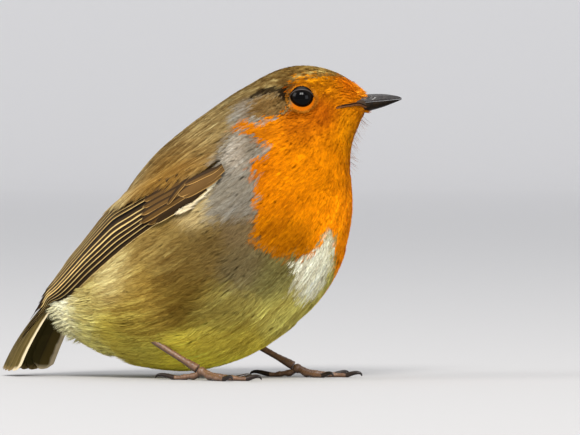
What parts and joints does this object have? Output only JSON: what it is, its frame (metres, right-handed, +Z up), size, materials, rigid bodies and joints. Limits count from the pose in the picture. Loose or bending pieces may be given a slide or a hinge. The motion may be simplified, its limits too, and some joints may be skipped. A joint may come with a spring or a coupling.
{
  "type": "European robin",
  "caption": "Small round songbird with an orange face and breast, standing on both feet with wings folded and tail tip down.",
  "frame": {"origin": "middle of the bird's box, on the floor it stands on", "axes": "+X forward, the way the breast faces; +Y to the bird's left; +Z up"},
  "size_m": [0.1118, 0.0518, 0.085],
  "materials": {
    "olive_plumage": "matt",
    "orange_plumage": "matt",
    "buff_plumage": "matt",
    "flight_feathers": "satin",
    "bill_horn": "satin",
    "eye_black": "gloss",
    "leg_skin": "satin",
    "claw_horn": "satin"
  },
  "bodies": {
    "root": {"belly": "buff_plumage", "bill_lower": "bill_horn", "bill_upper": "bill_horn", "breast": "orange_plumage", "claw_hind_left": "claw_horn", "claw_hind_right": "claw_horn", "claw_inner_left": "claw_horn", "claw_inner_right": "claw_horn", "claw_middle_left": "claw_horn", "claw_middle_right": "claw_horn", "claw_outer_left": "claw_horn", "claw_outer_right": "claw_horn", "eye_left": "eye_black", "eye_right": "eye_black", "foot_left": "leg_skin", "foot_right": "leg_skin", "head": "orange_plumage", "neck": "orange_plumage", "rump": "buff_plumage", "tail": "flight_feathers", "tarsus_left": "leg_skin", "tarsus_right": "leg_skin", "wing_left_alula": "olive_plumage", "wing_left_coverts": "olive_plumage", "wing_left_primaries": "flight_feathers", "wing_left_secondaries": "flight_feathers", "wing_right_alula": "olive_plumage", "wing_right_coverts": "olive_plumage", "wing_right_primaries": "flight_feathers", "wing_right_secondaries": "flight_feathers"}
  },
  "joints": []
}
